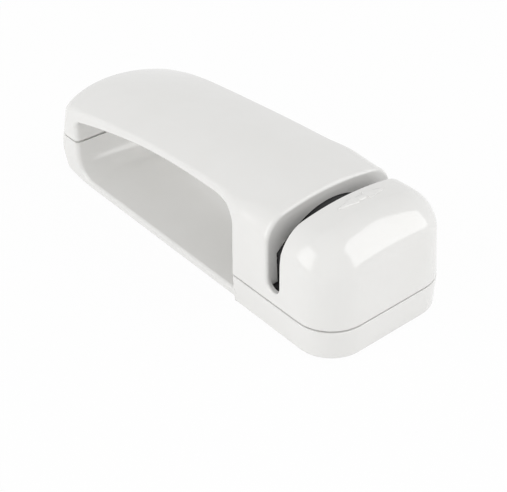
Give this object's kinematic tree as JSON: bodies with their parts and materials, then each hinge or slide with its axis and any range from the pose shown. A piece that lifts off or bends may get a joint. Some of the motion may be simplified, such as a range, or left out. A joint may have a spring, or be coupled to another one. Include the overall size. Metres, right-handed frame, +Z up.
{
  "type": "handheld bag heat sealer",
  "caption": "Palm-sized white bag sealer: a looped handle on a block with a film slot across it, where a sprung roller presses the bag to a heater strip.",
  "frame": {"origin": "on the table, under the middle of the case", "axes": "+X towards the nose, +Y away from the side that the picture shows, +Z up"},
  "size_m": [0.175, 0.0562, 0.0434],
  "materials": {
    "white_case": "gloss moulded",
    "black_jaws": "satin",
    "grey_moulding": "satin",
    "steel": "bright",
    "heater_alloy": "dull",
    "contact_metal": "nickel plate",
    "cover_cloth": "coated cloth",
    "silicone": "matte",
    "cell_sleeve": "gloss sleeve",
    "red_wire": "satin",
    "white_wire": "satin",
    "black_wire": "satin"
  },
  "bodies": {
    "case": {"upper_shell": "white_case", "base_shell": "white_case", "heater_carrier": "black_jaws", "front_jaw": "black_jaws", "switch_body": "black_jaws", "battery_holder": "grey_moulding", "near_nose_screw": "steel", "far_nose_screw": "steel", "rear_screw": "steel", "near_carriage_spring": "steel", "far_carriage_spring": "steel", "heater_strip": "heater_alloy", "near_rivet": "contact_metal", "far_rivet": "contact_metal", "positive_contact": "contact_metal", "negative_contact": "contact_metal", "bridge_contact": "contact_metal", "lower_contact_spring": "contact_metal", "upper_contact_spring": "contact_metal", "heater_cover": "cover_cloth", "lower_cell": "cell_sleeve", "upper_cell": "cell_sleeve", "battery_lead": "red_wire", "heater_lead": "white_wire", "return_lead": "black_wire"},
    "carriage": {"roller_carriage": "grey_moulding", "roller_pin": "steel"},
    "roller": {"pressure_roller": "silicone"},
    "plunger": {"switch_plunger": "grey_moulding"},
    "door": {"battery_door": "white_case"}
  },
  "joints": [
    {"name": "carriage_slide", "type": "slide", "parent": "case", "child": "carriage", "axis": [1, 0, 0], "range_m": [0, 0.0016], "stiffness_N_per_m": 3200, "springref_m": -0.003, "deforming": ["near_carriage_spring", "far_carriage_spring"]},
    {"name": "roller_spin", "type": "hinge", "parent": "carriage", "child": "roller", "pos_m": [0.06565, 0, 0.0295], "axis": [0, 0, 1], "continuous": true},
    {"name": "plunger_slide", "type": "slide", "parent": "case", "child": "plunger", "axis": [1, 0, 0], "range_m": [0, 0.0016]},
    {"name": "door_hinge", "type": "hinge", "parent": "case", "child": "door", "pos_m": [0.044, 0, 0.0014], "axis": [0, 1, 0], "range_deg": [0, 100]}
  ],
  "couplings": [
    {"joint": "plunger_slide", "follows": "carriage_slide", "ratio": 1}
  ]
}
